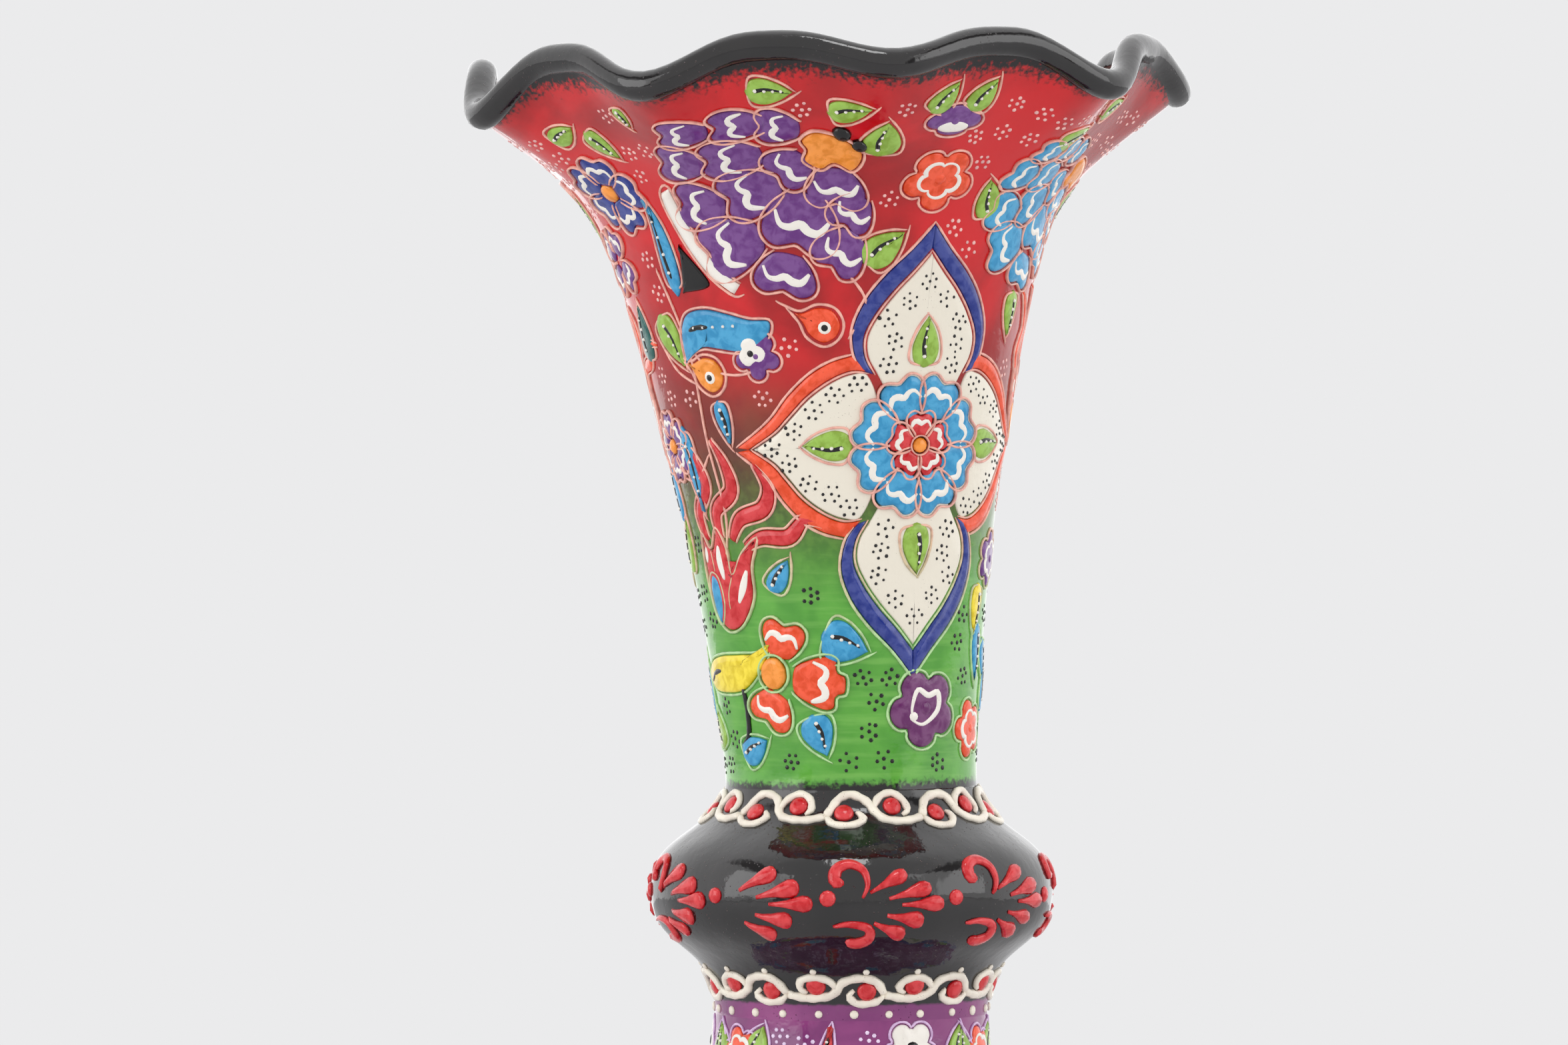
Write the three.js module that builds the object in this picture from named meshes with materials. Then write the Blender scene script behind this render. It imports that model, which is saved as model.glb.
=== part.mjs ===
// A thrown and luted earthenware vase: foot, body, knop and ruffled trumpet, with a coil of clay
// round the lip and slip-trailed scrolls and enamel beads round the knop.
// Millimetres, +Z up, origin at the middle of the foot's flat underside, front towards -Y.
import * as THREE from 'three';

// Driving dimensions: the clay sections, from the table up. Each length runs from the seam below.
const WALL = 4.6;
const FOOT_RADIUS = 47;
const FOOT_EDGE_HEIGHT = 6;
const FOOT_TOP = 14;
const FOOT_FLOOR = 8;
const WAIST_RADIUS = 42;
const BELLY_RADIUS = 64;
const BELLY_RISE = 82;
const BODY_LENGTH = 161;
const LOWER_COLLAR_RADIUS = 31.7;
const KNOP_RADIUS = 46.8;
const KNOP_RISE = 29;
const KNOP_LENGTH = 53;
const UPPER_COLLAR_RADIUS = 29.3;
const NECK_LENGTH = 128;
const THROAT_RADIUS = 51.5;
const MOUTH_RISE = 39.8;

// Driving dimensions: the ruffled lip
const LIP_ROLL_RADIUS = 3.5;
const MOUTH_FLARE = 26.5;
const SPOUT_REACH = 5;
const SPOUT_DROPS = [5, 9.5, 9, 8.5, 8, 9, 8, 11, 8];
const FIRST_SPOUT_ANGLE = THREE.MathUtils.degToRad(11.5);
const SPOUT_SHARPNESS = 1.5;

// Driving dimensions: how far the hand-thrown trumpet leans to its left, as slopes
const LEAN_SLOPE = 0.047;
const LIP_TILT = 0.03;
const LEAN_DEPTH = 6;
const LEAN_LENGTH = 16;

// Driving dimensions: the luted joints between the sections
const JOINT_GAP = 0.3;
const COIL_GAP = 0.6;
const SPIGOT_LENGTH = 6;
const SPIGOT_WALL = 1.8;

// Driving dimensions: slip and enamel trailed on the knop's two collars. Each scroll's middle
// is set in from the seam beside it.
const TRAIL_WIDTH = 1.7;
const TRAIL_HEIGHT = 0.9;
const TRAIL_GAP = 0.45;
const BEAD_RADIUS = 1.9;
const BEAD_HEIGHT = 1.1;
const BEAD_GAP = 0.6;
const SCROLL_WAVES = 9;
const UPPER_SCROLL = { inset: 5.1, swing: 3, start: THREE.MathUtils.degToRad(-4) };
const LOWER_SCROLL = { inset: 4.7, swing: 2.6, start: THREE.MathUtils.degToRad(6) };

// Heights of the seams and turning points that follow from those lengths
const BELLY_HEIGHT = FOOT_TOP + BELLY_RISE;
const LOWER_COLLAR_HEIGHT = FOOT_TOP + BODY_LENGTH;
const KNOP_HEIGHT = LOWER_COLLAR_HEIGHT + KNOP_RISE;
const UPPER_COLLAR_HEIGHT = LOWER_COLLAR_HEIGHT + KNOP_LENGTH;
const THROAT_HEIGHT = UPPER_COLLAR_HEIGHT + NECK_LENGTH;
const CREST_HEIGHT = THROAT_HEIGHT + MOUTH_RISE;
const CREST_RADIUS = THROAT_RADIUS + MOUTH_FLARE;
const LEAN_START = UPPER_COLLAR_HEIGHT - LEAN_DEPTH;

const TURN_SEGMENTS = 48;
const RUFFLE_SEGMENTS = 72;

// Outlines are lists of [radius, height] points, as on a potter's template.
const point = (radius, height) => new THREE.Vector2(radius, height);

function curve(start, startHandle, endHandle, end, steps) {
  return new THREE.CubicBezierCurve(start, startHandle, endHandle, end).getPoints(steps);
}

// The points of an outline moved sideways, to the right of its direction of travel.
function offset(outline, distance) {
  return outline.map((here, i) => {
    const before = outline[Math.max(i - 1, 0)];
    const after = outline[Math.min(i + 1, outline.length - 1)];
    const along = after.clone().sub(before).normalize();
    return here.clone().add(point(along.y, -along.x).multiplyScalar(distance));
  });
}

// The part of a rising outline between two heights, with a point at each height itself.
function between(outline, low, high) {
  const at = (height) => {
    const i = outline.findIndex((p, n) => n > 0 && p.y >= height);
    const [below, above] = [outline[i - 1], outline[i]];
    return below.clone().lerp(above, (height - below.y) / (above.y - below.y));
  };
  const inside = outline.filter((p) => p.y > low + WALL / 4 && p.y < high - WALL / 4);
  return [at(low), ...inside, at(high)];
}

// The lean of the trumpet: nothing below LEAN_START, easing in over LEAN_LENGTH, then straight.
function leaned(position) {
  const rise = Math.max(position.z - LEAN_START, 0);
  const ease = Math.min(rise / LEAN_LENGTH, 1);
  const shift = LEAN_SLOPE * (rise - (LEAN_LENGTH * ease * (2 - ease)) / 2);
  const tilt = LIP_TILT * position.x * ease;
  return position.set(position.x - shift, position.y, position.z + tilt);
}

// Turns a closed outline round the axis. The outline may change with the angle, which runs from
// the front, -Y, towards +X.
function turned(outlineAt, segments, startAngle = 0) {
  const closed = (angle) => {
    const outline = outlineAt(angle);
    const onAxis = outline[0].x === 0;
    return onAxis ? outline : [...outline, outline[0]];
  };
  const count = closed(startAngle).length;
  const geometry = new THREE.LatheGeometry(closed(startAngle), segments, startAngle);
  const positions = geometry.getAttribute('position');
  for (let i = 0; i <= segments; i++) {
    const angle = startAngle + ((i % segments) / segments) * 2 * Math.PI;
    closed(angle).forEach((p, j) => {
      const place = new THREE.Vector3(p.x * Math.sin(angle), -p.x * Math.cos(angle), p.y);
      leaned(place);
      positions.setXYZ(i * count + j, place.x, place.y, place.z);
    });
  }
  return geometry;
}

// Glazes and bodies
const blackGlaze = { color: 0x0d0b0c, roughness: 0.12, metalness: 0 };
const redGlaze = { color: 0xc41e23, roughness: 0.15, metalness: 0 };
const purpleGlaze = { color: 0x7a2c7c, roughness: 0.15, metalness: 0 };
const whiteSlip = { color: 0xefe6da, roughness: 0.3, metalness: 0 };
const redEnamel = { color: 0xd02a2e, roughness: 0.2, metalness: 0 };
const bareClay = { color: 0xd9b894, roughness: 0.8, metalness: 0 };

const group = new THREE.Group();

function addPiece(name, geometry, finish) {
  const mesh = new THREE.Mesh(geometry, new THREE.MeshStandardMaterial(finish));
  mesh.name = name;
  group.add(mesh);
  return mesh;
}

// The spigot of one section slides up into the seat of the next. Both are set back from the
// section's bore, so the joint has clay on both sides of it.
const spigotOuter = (bore) => bore + SPIGOT_WALL;
const seatOuter = (bore) => spigotOuter(bore) + JOINT_GAP;

// Foot: a turned dish with a flat underside and a rounded edge, closing the body.
const bodyBoreAtFoot = WAIST_RADIUS - WALL;
const footEdge = curve(
  point(FOOT_RADIUS - FOOT_EDGE_HEIGHT / 3, 0),
  point(FOOT_RADIUS, 0),
  point(FOOT_RADIUS, FOOT_EDGE_HEIGHT),
  point(FOOT_RADIUS - FOOT_EDGE_HEIGHT / 4, FOOT_EDGE_HEIGHT),
  3,
);
const footOutline = [
  point(0, 0),
  ...footEdge,
  point(WAIST_RADIUS + 0.5, (FOOT_EDGE_HEIGHT + FOOT_TOP) / 2 + 1),
  point(WAIST_RADIUS, FOOT_TOP),
  point(spigotOuter(bodyBoreAtFoot), FOOT_TOP),
  point(spigotOuter(bodyBoreAtFoot), FOOT_TOP + SPIGOT_LENGTH),
  point(bodyBoreAtFoot, FOOT_TOP + SPIGOT_LENGTH),
  point(bodyBoreAtFoot, FOOT_FLOOR + 3),
  point(bodyBoreAtFoot - 3, FOOT_FLOOR),
  point(0, FOOT_FLOOR),
];
addPiece('foot', turned(() => footOutline, TURN_SEGMENTS), bareClay);

// Lower body: an open baluster from the foot's shoulder to the knop's lower collar.
const bodyBottom = FOOT_TOP + JOINT_GAP;
const bodyRise = BELLY_HEIGHT - bodyBottom;
const bodyFall = LOWER_COLLAR_HEIGHT - BELLY_HEIGHT;
const bodyOuter = [
  ...curve(
    point(WAIST_RADIUS, bodyBottom),
    point(WAIST_RADIUS + 3, bodyBottom + bodyRise * 0.3),
    point(BELLY_RADIUS, BELLY_HEIGHT - bodyRise * 0.5),
    point(BELLY_RADIUS, BELLY_HEIGHT),
    5,
  ),
  ...curve(
    point(BELLY_RADIUS, BELLY_HEIGHT),
    point(BELLY_RADIUS, BELLY_HEIGHT + bodyFall * 0.42),
    point(LOWER_COLLAR_RADIUS, LOWER_COLLAR_HEIGHT - bodyFall * 0.5),
    point(LOWER_COLLAR_RADIUS, LOWER_COLLAR_HEIGHT),
    7,
  ).slice(1),
];
const lowerCollarBore = LOWER_COLLAR_RADIUS - WALL;
const bodySeatTop = FOOT_TOP + SPIGOT_LENGTH + JOINT_GAP;
const bodySpigotTop = LOWER_COLLAR_HEIGHT + SPIGOT_LENGTH;
const bodyInner = between(offset(bodyOuter, -WALL), bodySeatTop, LOWER_COLLAR_HEIGHT - WALL).reverse();
const bodyOutline = [
  ...bodyOuter,
  point(spigotOuter(lowerCollarBore), LOWER_COLLAR_HEIGHT),
  point(spigotOuter(lowerCollarBore), bodySpigotTop),
  point(lowerCollarBore, bodySpigotTop),
  ...bodyInner,
  point(seatOuter(bodyBoreAtFoot), bodySeatTop),
  point(seatOuter(bodyBoreAtFoot), bodyBottom),
];
addPiece('lower_body', turned(() => bodyOutline, TURN_SEGMENTS), purpleGlaze);

// Knop: a hollow thrown ring that swells between the two collars.
const knopBottom = LOWER_COLLAR_HEIGHT + JOINT_GAP;
const knopOuter = [
  ...curve(
    point(LOWER_COLLAR_RADIUS, knopBottom),
    point(LOWER_COLLAR_RADIUS, knopBottom + (KNOP_HEIGHT - knopBottom) * 0.62),
    point(KNOP_RADIUS, KNOP_HEIGHT - (KNOP_HEIGHT - knopBottom) * 0.53),
    point(KNOP_RADIUS, KNOP_HEIGHT),
    6,
  ),
  ...curve(
    point(KNOP_RADIUS, KNOP_HEIGHT),
    point(KNOP_RADIUS, KNOP_HEIGHT + (UPPER_COLLAR_HEIGHT - KNOP_HEIGHT) * 0.55),
    point(UPPER_COLLAR_RADIUS + 3.8, UPPER_COLLAR_HEIGHT - (UPPER_COLLAR_HEIGHT - KNOP_HEIGHT) * 0.48),
    point(UPPER_COLLAR_RADIUS, UPPER_COLLAR_HEIGHT),
    6,
  ).slice(1),
];
const upperCollarBore = UPPER_COLLAR_RADIUS - WALL;
const knopSeatTop = bodySpigotTop + JOINT_GAP;
const knopSpigotTop = UPPER_COLLAR_HEIGHT + SPIGOT_LENGTH;
const knopInner = between(offset(knopOuter, -WALL), knopSeatTop, UPPER_COLLAR_HEIGHT - WALL).reverse();
const knopOutline = [
  ...knopOuter,
  point(spigotOuter(upperCollarBore), UPPER_COLLAR_HEIGHT),
  point(spigotOuter(upperCollarBore), knopSpigotTop),
  point(upperCollarBore, knopSpigotTop),
  ...knopInner,
  point(seatOuter(lowerCollarBore), knopSeatTop),
  point(seatOuter(lowerCollarBore), knopBottom),
];
addPiece('knop', turned(() => knopOutline, TURN_SEGMENTS), blackGlaze);

// Trumpet: one open tube from the knop's upper collar to the lip. Above the throat its wall
// follows the ruffle, standing up at the crests and flaring outwards at the spouts.
const trumpetBottom = UPPER_COLLAR_HEIGHT + JOINT_GAP;
const throatSlope = point(0.34, 0.94).normalize();
const throatRun = (THROAT_HEIGHT - trumpetBottom) / throatSlope.y;
const neckOuter = curve(
  point(UPPER_COLLAR_RADIUS, trumpetBottom),
  point(UPPER_COLLAR_RADIUS - 1.4, trumpetBottom + 9),
  point(THROAT_RADIUS, THROAT_HEIGHT).addScaledVector(throatSlope, -0.29 * throatRun),
  point(THROAT_RADIUS, THROAT_HEIGHT),
  7,
);
const spoutSpacing = (2 * Math.PI) / SPOUT_DROPS.length;
const seatRadius = LIP_ROLL_RADIUS + COIL_GAP;
const seatHalfAngle = Math.asin(WALL / 2 / seatRadius);

// The lip at one angle: how far it is pulled into a spout, 0 to 1, the middle of its roll, and
// the direction in which the wall runs into it.
function lipAt(angle) {
  const turns = (angle - FIRST_SPOUT_ANGLE) / spoutSpacing;
  const nearest = Math.round(turns);
  const pull = ((1 + Math.cos((turns - nearest) * 2 * Math.PI)) / 2) ** SPOUT_SHARPNESS;
  const spouts = SPOUT_DROPS.length;
  const drop = SPOUT_DROPS[((nearest % spouts) + spouts) % spouts];
  return {
    pull,
    middle: point(CREST_RADIUS + SPOUT_REACH * pull, CREST_HEIGHT - drop * pull),
    heading: point(0.45 + 0.45 * pull, 0.89 - 0.45 * pull).normalize(),
  };
}

function mouthMiddle(lip) {
  const throat = point(THROAT_RADIUS, THROAT_HEIGHT);
  const start = throat.addScaledVector(point(throatSlope.y, -throatSlope.x), -WALL / 2);
  const end = lip.middle.clone().addScaledVector(lip.heading, -seatRadius * Math.cos(seatHalfAngle));
  const startHandle = start.clone().addScaledVector(throatSlope, MOUTH_RISE * 0.42);
  const endHandle = end.clone().addScaledVector(lip.heading, -MOUTH_RISE * 0.38);
  return curve(start, startHandle, endHandle, end, 5).slice(1);
}

// The groove in the wall's top edge that the lip's coil beds in
function lipSeat(lip) {
  const across = point(lip.heading.y, -lip.heading.x);
  return [-0.5, 0, 0.5].map((share) => {
    const angle = share * 2 * seatHalfAngle * 0.9;
    return lip.middle.clone()
      .addScaledVector(lip.heading, -seatRadius * Math.cos(angle))
      .addScaledVector(across, -seatRadius * Math.sin(angle));
  });
}

const trumpetSeatTop = knopSpigotTop + JOINT_GAP;
const neckInner = between(offset(neckOuter, -WALL), trumpetSeatTop, THROAT_HEIGHT - WALL).reverse();

function trumpetOutline(angle) {
  const lip = lipAt(angle);
  const middle = mouthMiddle(lip);
  return [
    ...neckOuter,
    ...offset(middle, WALL / 2),
    ...lipSeat(lip),
    ...offset(middle, -WALL / 2).reverse(),
    ...neckInner,
    point(seatOuter(upperCollarBore), trumpetSeatTop),
    point(seatOuter(upperCollarBore), trumpetBottom),
  ];
}
const trumpet = turned(trumpetOutline, RUFFLE_SEGMENTS, FIRST_SPOUT_ANGLE);
addPiece('trumpet', trumpet, redGlaze);

// Rim roll: a coil of clay bedded in the groove along the whole ruffle.
function rimRollOutline(angle) {
  const { middle } = lipAt(angle);
  return Array.from({ length: 10 }, (_, i) => {
    const turn = (i / 10) * 2 * Math.PI;
    return point(Math.cos(turn), Math.sin(turn)).multiplyScalar(LIP_ROLL_RADIUS).add(middle);
  });
}
addPiece('rim_roll', turned(rimRollOutline, RUFFLE_SEGMENTS, FIRST_SPOUT_ANGLE), blackGlaze);

// The knop's surface at a height: the point on its outline and the direction out of the clay.
function knopSurface(height) {
  const i = knopOuter.findIndex((p, n) => n > 0 && p.y >= height);
  const [below, above] = [knopOuter[i - 1], knopOuter[i]];
  const along = above.clone().sub(below);
  const spot = below.clone().addScaledVector(along, (height - below.y) / along.y);
  along.normalize();
  return { spot, along, out: point(along.y, -along.x) };
}

// One scroll: a wavy line of slip round a collar, and in each hollow of the line an enamel bead.
function addScroll(name, middle, scroll) {
  const wave = (angle) => Math.cos((angle - scroll.start) * SCROLL_WAVES);
  const trailOutline = (angle) => {
    const { spot, along, out } = knopSurface(middle + scroll.swing * wave(angle));
    const foot = spot.clone().addScaledVector(out, TRAIL_GAP);
    const section = [[-0.5, 0], [0.5, 0], [0.3, 0.8], [-0.3, 0.8]];
    return section.map(([across, up]) => foot.clone()
      .addScaledVector(along, -across * TRAIL_WIDTH)
      .addScaledVector(out, up * TRAIL_HEIGHT));
  };
  addPiece(`${name}_trail`, turned(trailOutline, RUFFLE_SEGMENTS, scroll.start), whiteSlip);

  const beads = 2 * SCROLL_WAVES;
  for (let i = 0; i < beads; i++) {
    const angle = scroll.start + (i / beads) * 2 * Math.PI;
    const height = middle - 0.5 * scroll.swing * wave(angle);
    const { spot, out } = knopSurface(height);
    const dome = new THREE.LatheGeometry([
      point(0, 0),
      point(BEAD_RADIUS, 0),
      point(BEAD_RADIUS * 0.75, BEAD_HEIGHT * 0.7),
      point(0, BEAD_HEIGHT),
    ], 6);
    const base = spot.clone().addScaledVector(out, BEAD_GAP);
    const bead = addPiece(`${name}_bead_${String(i + 1).padStart(2, '0')}`, dome, redEnamel);
    const place = new THREE.Vector3(base.x * Math.sin(angle), -base.x * Math.cos(angle), base.y);
    const facing = new THREE.Vector3(out.x * Math.sin(angle), -out.x * Math.cos(angle), out.y);
    bead.position.copy(leaned(place));
    bead.quaternion.setFromUnitVectors(new THREE.Vector3(0, 1, 0), facing.normalize());
  }
}
addScroll('upper_scroll', UPPER_COLLAR_HEIGHT - UPPER_SCROLL.inset, UPPER_SCROLL);
addScroll('lower_scroll', LOWER_COLLAR_HEIGHT + LOWER_SCROLL.inset, LOWER_SCROLL);

export default group;
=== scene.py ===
import math
import random

import bpy
import numpy as np
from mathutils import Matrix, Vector
from mathutils.kdtree import KDTree


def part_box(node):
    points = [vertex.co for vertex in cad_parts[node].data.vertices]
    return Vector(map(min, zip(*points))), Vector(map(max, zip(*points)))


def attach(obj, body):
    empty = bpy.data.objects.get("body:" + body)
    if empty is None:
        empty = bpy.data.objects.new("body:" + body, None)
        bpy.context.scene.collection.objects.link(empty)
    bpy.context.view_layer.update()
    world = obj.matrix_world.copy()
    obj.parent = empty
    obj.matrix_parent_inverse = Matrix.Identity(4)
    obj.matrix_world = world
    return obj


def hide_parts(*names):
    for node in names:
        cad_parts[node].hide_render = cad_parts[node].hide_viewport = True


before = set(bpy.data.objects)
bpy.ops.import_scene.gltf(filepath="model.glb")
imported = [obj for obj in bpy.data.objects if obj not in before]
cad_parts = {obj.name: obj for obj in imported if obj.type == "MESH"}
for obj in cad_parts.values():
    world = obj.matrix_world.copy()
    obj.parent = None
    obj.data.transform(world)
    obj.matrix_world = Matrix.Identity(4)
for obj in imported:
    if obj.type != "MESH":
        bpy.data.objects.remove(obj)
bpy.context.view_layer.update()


# The foot: a turned dish of pale earthenware, wiped clean of glaze so that it doesn't stick to
# the kiln shelf, and luted into the bottom of the body.
MM = 0.001
COLUMNS = 180


class Wire:
    """A socket in a finish's recipe. Sums on wires add Math nodes."""

    def __init__(self, tree, socket=None):
        self.tree = tree
        self.socket = socket

    def add(self, kind, settings=None, sockets=None, out=0):
        """One more node: its settings first, then the values or wires of its sockets."""
        node = self.tree.nodes.new("ShaderNode" + kind)
        for key, value in (settings or {}).items():
            setattr(node, key, value)
        for key, value in (sockets or {}).items():
            if isinstance(value, Wire):
                self.tree.links.new(value.socket, node.inputs[key])
            else:
                node.inputs[key].default_value = value
        return Wire(self.tree, node.outputs[out])

    def maths(self, operation, *values):
        return self.add("Math", {"operation": operation}, dict(enumerate(values)))

    def __add__(self, other):
        return self.maths("ADD", self, other)

    def __sub__(self, other):
        return self.maths("SUBTRACT", self, other)

    def __rsub__(self, other):
        return self.maths("SUBTRACT", other, self)

    def __mul__(self, other):
        return self.maths("MULTIPLY", self, other)

    def __truediv__(self, other):
        return self.maths("DIVIDE", self, other)

    def __abs__(self):
        return self.maths("ABSOLUTE", self)

    __radd__ = __add__
    __rmul__ = __mul__

    def noise(self, scale, detail=2.0, warp=0.0):
        """Soft blotches, this many to the metre, fixed to the clay."""
        where = self.add("TexCoord", out="Object")
        return self.add(
            "TexNoise", None, {"Vector": where, "Scale": scale, "Detail": detail, "Distortion": warp}
        )

    def specks(self, scale):
        """0 at the middle of scattered specks, rising away from them."""
        where = self.add("TexCoord", out="Object")
        return self.add("TexVoronoi", {"feature": "F1"}, {"Vector": where, "Scale": scale})

    def attribute(self, name, out):
        return self.add("Attribute", {"attribute_name": name}, None, out)

    def between(self, low, high):
        """0 below low and 1 above high, or the reverse, with a smooth step."""
        falls = not isinstance(low, Wire) and low > high
        first, last = (high, low) if falls else (low, high)
        step = self.add("MapRange", {"interpolation_type": "SMOOTHSTEP"}, {0: self, 1: first, 2: last})
        return 1 - step if falls else step

    def turning(self, first, second):
        """One colour turning into another as this wire goes from 0 to 1."""
        return self.add("Mix", {"data_type": "RGBA"}, {0: self, 6: first, 7: second}, 2)


def colour(*parts):
    """A paint's red, green and blue, 0 to 255, as the light that it returns."""
    lit = [p / 255 / 12.92 if p < 11 else ((p / 255 + 0.055) / 1.055) ** 2.4 for p in parts]
    return (*lit, 1.0)


def fired(name, recipe, depth, **constants):
    """A finish: recipe gives its paint, its roughness and the height of its grain."""
    material = bpy.data.materials.new(name)
    material.use_nodes = True
    tree = material.node_tree
    shader = tree.nodes["Principled BSDF"]
    paint, roughness, grain = recipe(Wire(tree))
    bump = grain.add("Bump", None, {"Height": grain, "Distance": depth})
    tree.links.new(paint.socket, shader.inputs["Base Color"])
    tree.links.new(roughness.socket, shader.inputs["Roughness"])
    tree.links.new(bump.socket, shader.inputs["Normal"])
    for key, value in constants.items():
        shader.inputs[key.replace("_", " ")].default_value = value
    return material


def clay_recipe(wire):
    cloud = wire.noise(35, 4)
    grit = wire.noise(1400, 3)
    shade = cloud.between(0.3, 0.7).turning(colour(206, 170, 134), colour(226, 198, 166))
    paint = wire.specks(420).between(0.25, 0.12).turning(shade, colour(158, 112, 78))
    return paint, 0.72 + 0.2 * grit, grit + 0.4 * wire.noise(300, 2)


def curved(start, leaving, arriving, end, steps):
    """A throwing line from start to end, in (radius, height), with its two handles."""
    t = np.linspace(0, 1, steps + 1)[:, None]
    ends = (1 - t) ** 3 * np.array(start) + t**3 * np.array(end)
    return ends + 3 * (1 - t) ** 2 * t * np.array(leaving) + 3 * (1 - t) * t**2 * np.array(arriving)


def seam(node):
    """The height in mm of the luted seam at the bottom of a CAD section."""
    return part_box(node)[0].z / MM


def girth(node):
    """The radius in mm of a CAD section at its widest."""
    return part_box(node)[1].x / MM


def thrown(name, outline):
    """Turns an outline of (radius, height) in mm round the wheel and closes the clay."""
    bpy.ops.object.select_all(action="DESELECT")
    bpy.ops.mesh.primitive_circle_add(vertices=len(outline), radius=0.01)
    piece = bpy.context.object
    piece.name = name
    piece.data.name = name
    for vertex, (radius, height) in zip(piece.data.vertices, outline):
        vertex.co = (0, -radius * MM, height * MM)
    bpy.ops.object.mode_set(mode="EDIT")
    bpy.ops.mesh.select_all(action="SELECT")
    bpy.ops.mesh.spin(steps=COLUMNS, angle=2 * math.pi, center=(0, 0, 0), axis=(0, 0, 1))
    bpy.ops.mesh.select_all(action="SELECT")
    bpy.ops.mesh.remove_doubles(threshold=0.02 * MM)
    bpy.ops.mesh.delete_loose(use_verts=True, use_edges=True, use_faces=False)
    bpy.ops.mesh.select_all(action="SELECT")
    bpy.ops.mesh.normals_make_consistent(inside=False)
    bpy.ops.object.mode_set(mode="OBJECT")
    bpy.ops.object.shade_smooth_by_angle(angle=math.radians(38))
    return piece


def fitted(piece, finish, slot, *nodes):
    """The piece takes its finish, rides on the vase and stands for these CAD nodes."""
    piece.data.materials.clear()
    piece.data.materials.append(finish)
    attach(piece, "root")
    if nodes:
        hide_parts(*nodes)


WALL = 4.6
waist = 42.0
foot_radius = 47.0
foot_roll = 6
foot_floor = 8
foot_seam = seam("lower_body")
foot_bore = waist - WALL
foot_outline = np.vstack([
    [(0, 0)],
    curved((foot_radius - 2, 0), (foot_radius, 0),
           (foot_radius, foot_roll), (foot_radius - 1.5, foot_roll), 8),
    curved((foot_radius - 1.6, foot_roll + 0.6), (44.2, 8.6), (42.6, 10.4), (waist, foot_seam), 8),
    [(foot_bore, foot_seam), (foot_bore, foot_floor + 3)],
    curved((foot_bore, foot_floor + 2.8), (foot_bore, foot_floor + 1),
           (foot_bore - 1, foot_floor), (foot_bore - 3, foot_floor), 4),
    [(0, foot_floor)],
])
bare_clay = fired("bare_clay", clay_recipe, 0.25 * MM)
fitted(thrown("foot_clay", foot_outline), bare_clay, "bare_clay", "foot")


# The lower body: a thrown baluster of earthenware under a purple glaze, open at the foot's
# shoulder and drawn in to the collar that carries the knop.
def stepped(outline, distance):
    """An outline moved sideways, to the right of its direction of travel."""
    along = np.gradient(outline, axis=0)
    along /= np.linalg.norm(along, axis=1)[:, None]
    return outline + distance * np.stack([along[:, 1], -along[:, 0]], 1)


def shell(outer):
    """The closed section of a wall whose outer face is this outline."""
    inner = stepped(outer, -WALL)
    inner[0, 1] = outer[0, 1]
    inner[-1, 1] = outer[-1, 1]
    return np.vstack([outer, inner[::-1]])


def glossy(paint, low, high, wire):
    """A paint with the cloudiness of brushed glaze, its gloss and its faint unevenness."""
    cloud = wire.noise(90, 5, 0.6).between(0.3, 0.72)
    shade = cloud.turning(low, high)
    pits = wire.specks(900).between(0.1, 0.04) * wire.noise(60).between(0.55, 0.7)
    shade = pits.turning(shade, paint)
    roughness = 0.07 + 0.07 * wire.noise(220, 3)
    grain = wire.noise(70, 2) + 0.15 * wire.noise(420, 2) - 0.5 * pits
    return shade, roughness, grain


def purple_recipe(wire):
    return glossy(colour(46, 12, 54), colour(112, 36, 100), colour(138, 56, 118), wire)


belly = girth("lower_body")
belly_height = 96.0
lower_collar = 31.7
lower_seam = seam("knop")
body_rise = belly_height - foot_seam
body_fall = lower_seam - belly_height
body_line = np.vstack([
    curved((waist, foot_seam), (waist + 3, foot_seam + 0.3 * body_rise),
           (belly, belly_height - 0.5 * body_rise), (belly, belly_height), 44),
    curved((belly, belly_height), (belly, belly_height + 0.42 * body_fall),
           (lower_collar, lower_seam - 0.5 * body_fall), (lower_collar, lower_seam), 44)[1:],
])
purple_glaze = fired("purple_glaze", purple_recipe, 0.5 * MM, IOR=1.5)
fitted(thrown("lower_body_clay", shell(body_line)), purple_glaze, "purple_glaze", "lower_body")


# The knop: a hollow thrown ring between two collars, dipped in a black glaze deep enough to
# mirror the room. The body's purple laps over its lower collar.
LAP = 179


def black_recipe(wire):
    # Pale grey specks over the black glaze are partly worn glaze and partly a painted highlight: they
    # stand in for the grainy, broken shine along the rim's ridge. They also roughen and pit the glaze.
    worn_and_highlight_specks = wire.specks(900).between(0.16, 0.06) * wire.noise(45).between(0.46, 0.62)
    cloud = wire.noise(60, 4).between(0.35, 0.7)
    paint = worn_and_highlight_specks.turning(cloud.turning(colour(8, 6, 7), colour(22, 18, 19)), colour(110, 88, 88))
    lap = wire.add("SeparateXYZ", None, {0: wire.add("TexCoord", out="Object")}, 2) / MM
    lap = (lap + 1.2 * (wire.noise(420, 3) - 0.5)).between(LAP + 0.4, LAP - 0.4)
    paint = lap.turning(paint, cloud.turning(colour(120, 42, 106), colour(146, 62, 124)))
    roughness = 0.06 + 0.05 * wire.noise(160, 3) + 0.25 * worn_and_highlight_specks
    return paint, roughness, wire.noise(55, 1) + 0.1 * wire.noise(380, 2) + 0.5 * worn_and_highlight_specks


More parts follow.
